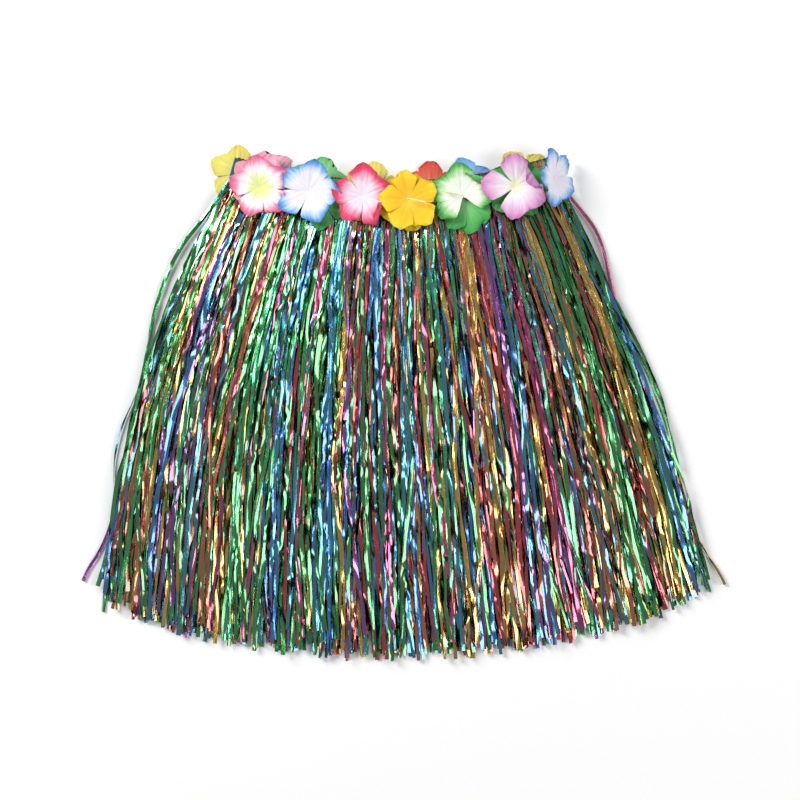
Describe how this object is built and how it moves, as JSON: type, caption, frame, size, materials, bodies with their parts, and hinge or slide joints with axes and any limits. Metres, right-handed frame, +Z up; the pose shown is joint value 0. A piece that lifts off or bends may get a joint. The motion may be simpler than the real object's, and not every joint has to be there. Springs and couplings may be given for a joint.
{
  "type": "grass skirt",
  "caption": "Tinsel grass skirt laid flat: a stitched elastic waistband with a garland of fabric flowers over a flared fringe of metallic foil strips.",
  "frame": {"origin": "centre of the laid-out skirt's bounding box, on the surface it lies on", "axes": "+Z up from the surface, +Y from the hem to the waist, +X to the right as seen from above with the waist at the top"},
  "size_m": [0.6165, 0.4857, 0.0398],
  "materials": {
    "foil_green": "metallised foil film, mirror bright",
    "foil_gold": "metallised foil film, mirror bright",
    "foil_red": "metallised foil film, mirror bright",
    "foil_blue": "metallised foil film, mirror bright",
    "foil_purple": "metallised foil film, mirror bright",
    "foil_teal": "metallised foil film, mirror bright",
    "foil_copper": "metallised foil film, mirror bright",
    "petal_pink": "stiffened woven petal cloth, matt",
    "petal_blue": "stiffened woven petal cloth, matt",
    "petal_rose": "stiffened woven petal cloth, matt",
    "petal_yellow": "stiffened woven petal cloth, matt",
    "petal_green": "stiffened woven petal cloth, matt",
    "petal_lilac": "stiffened woven petal cloth, matt",
    "petal_straw": "stiffened woven petal cloth, matt",
    "petal_coral": "stiffened woven petal cloth, matt",
    "elastic": "stitched elastic over strip heads",
    "pistil": "matt"
  },
  "bodies": {
    "root": {"flower_blue_inner": "petal_blue", "flower_blue_outer": "petal_green", "flower_coral": "petal_coral", "flower_green_inner": "petal_green", "flower_green_outer": "petal_green", "flower_lilac_inner": "petal_lilac", "flower_lilac_outer": "petal_green", "flower_pale_blue": "petal_blue", "flower_pale_green": "petal_green", "flower_pale_pink": "petal_pink", "flower_pink_inner": "petal_pink", "flower_pink_outer": "petal_pink", "flower_rose_inner": "petal_rose", "flower_rose_outer": "petal_straw", "flower_side_blue_outer": "petal_blue", "flower_straw_left": "petal_straw", "flower_straw_middle": "petal_straw", "flower_straw_right": "petal_straw", "flower_yellow_inner": "petal_yellow", "flower_yellow_outer": "petal_yellow", "fringe_back_01": "foil_green", "fringe_back_02": "foil_red", "fringe_back_03": "foil_blue", "fringe_back_04": "foil_gold", "fringe_back_05": "foil_green", "fringe_back_06": "foil_purple", "fringe_back_07": "foil_teal", "fringe_back_08": "foil_copper", "fringe_back_09": "foil_green", "fringe_back_10": "foil_red", "fringe_back_11": "foil_blue", "fringe_back_12": "foil_gold", "fringe_front_01": "foil_teal", "fringe_front_02": "foil_purple", "fringe_front_03": "foil_gold", "fringe_front_04": "foil_green", "fringe_front_05": "foil_copper", "fringe_front_06": "foil_red", "fringe_front_07": "foil_green", "fringe_front_08": "foil_blue", "fringe_front_09": "foil_gold", "fringe_front_10": "foil_red", "fringe_front_11": "foil_copper", "fringe_front_12": "foil_green", "pistil_green": "pistil", "pistil_yellow": "pistil", "strand_left_gold": "foil_gold", "strand_left_green": "foil_green", "strand_left_purple": "foil_purple", "strand_right_copper": "foil_copper", "strand_right_gold": "foil_gold", "strand_right_green": "foil_green", "strand_right_teal": "foil_teal", "waistband": "elastic"}
  },
  "joints": []
}
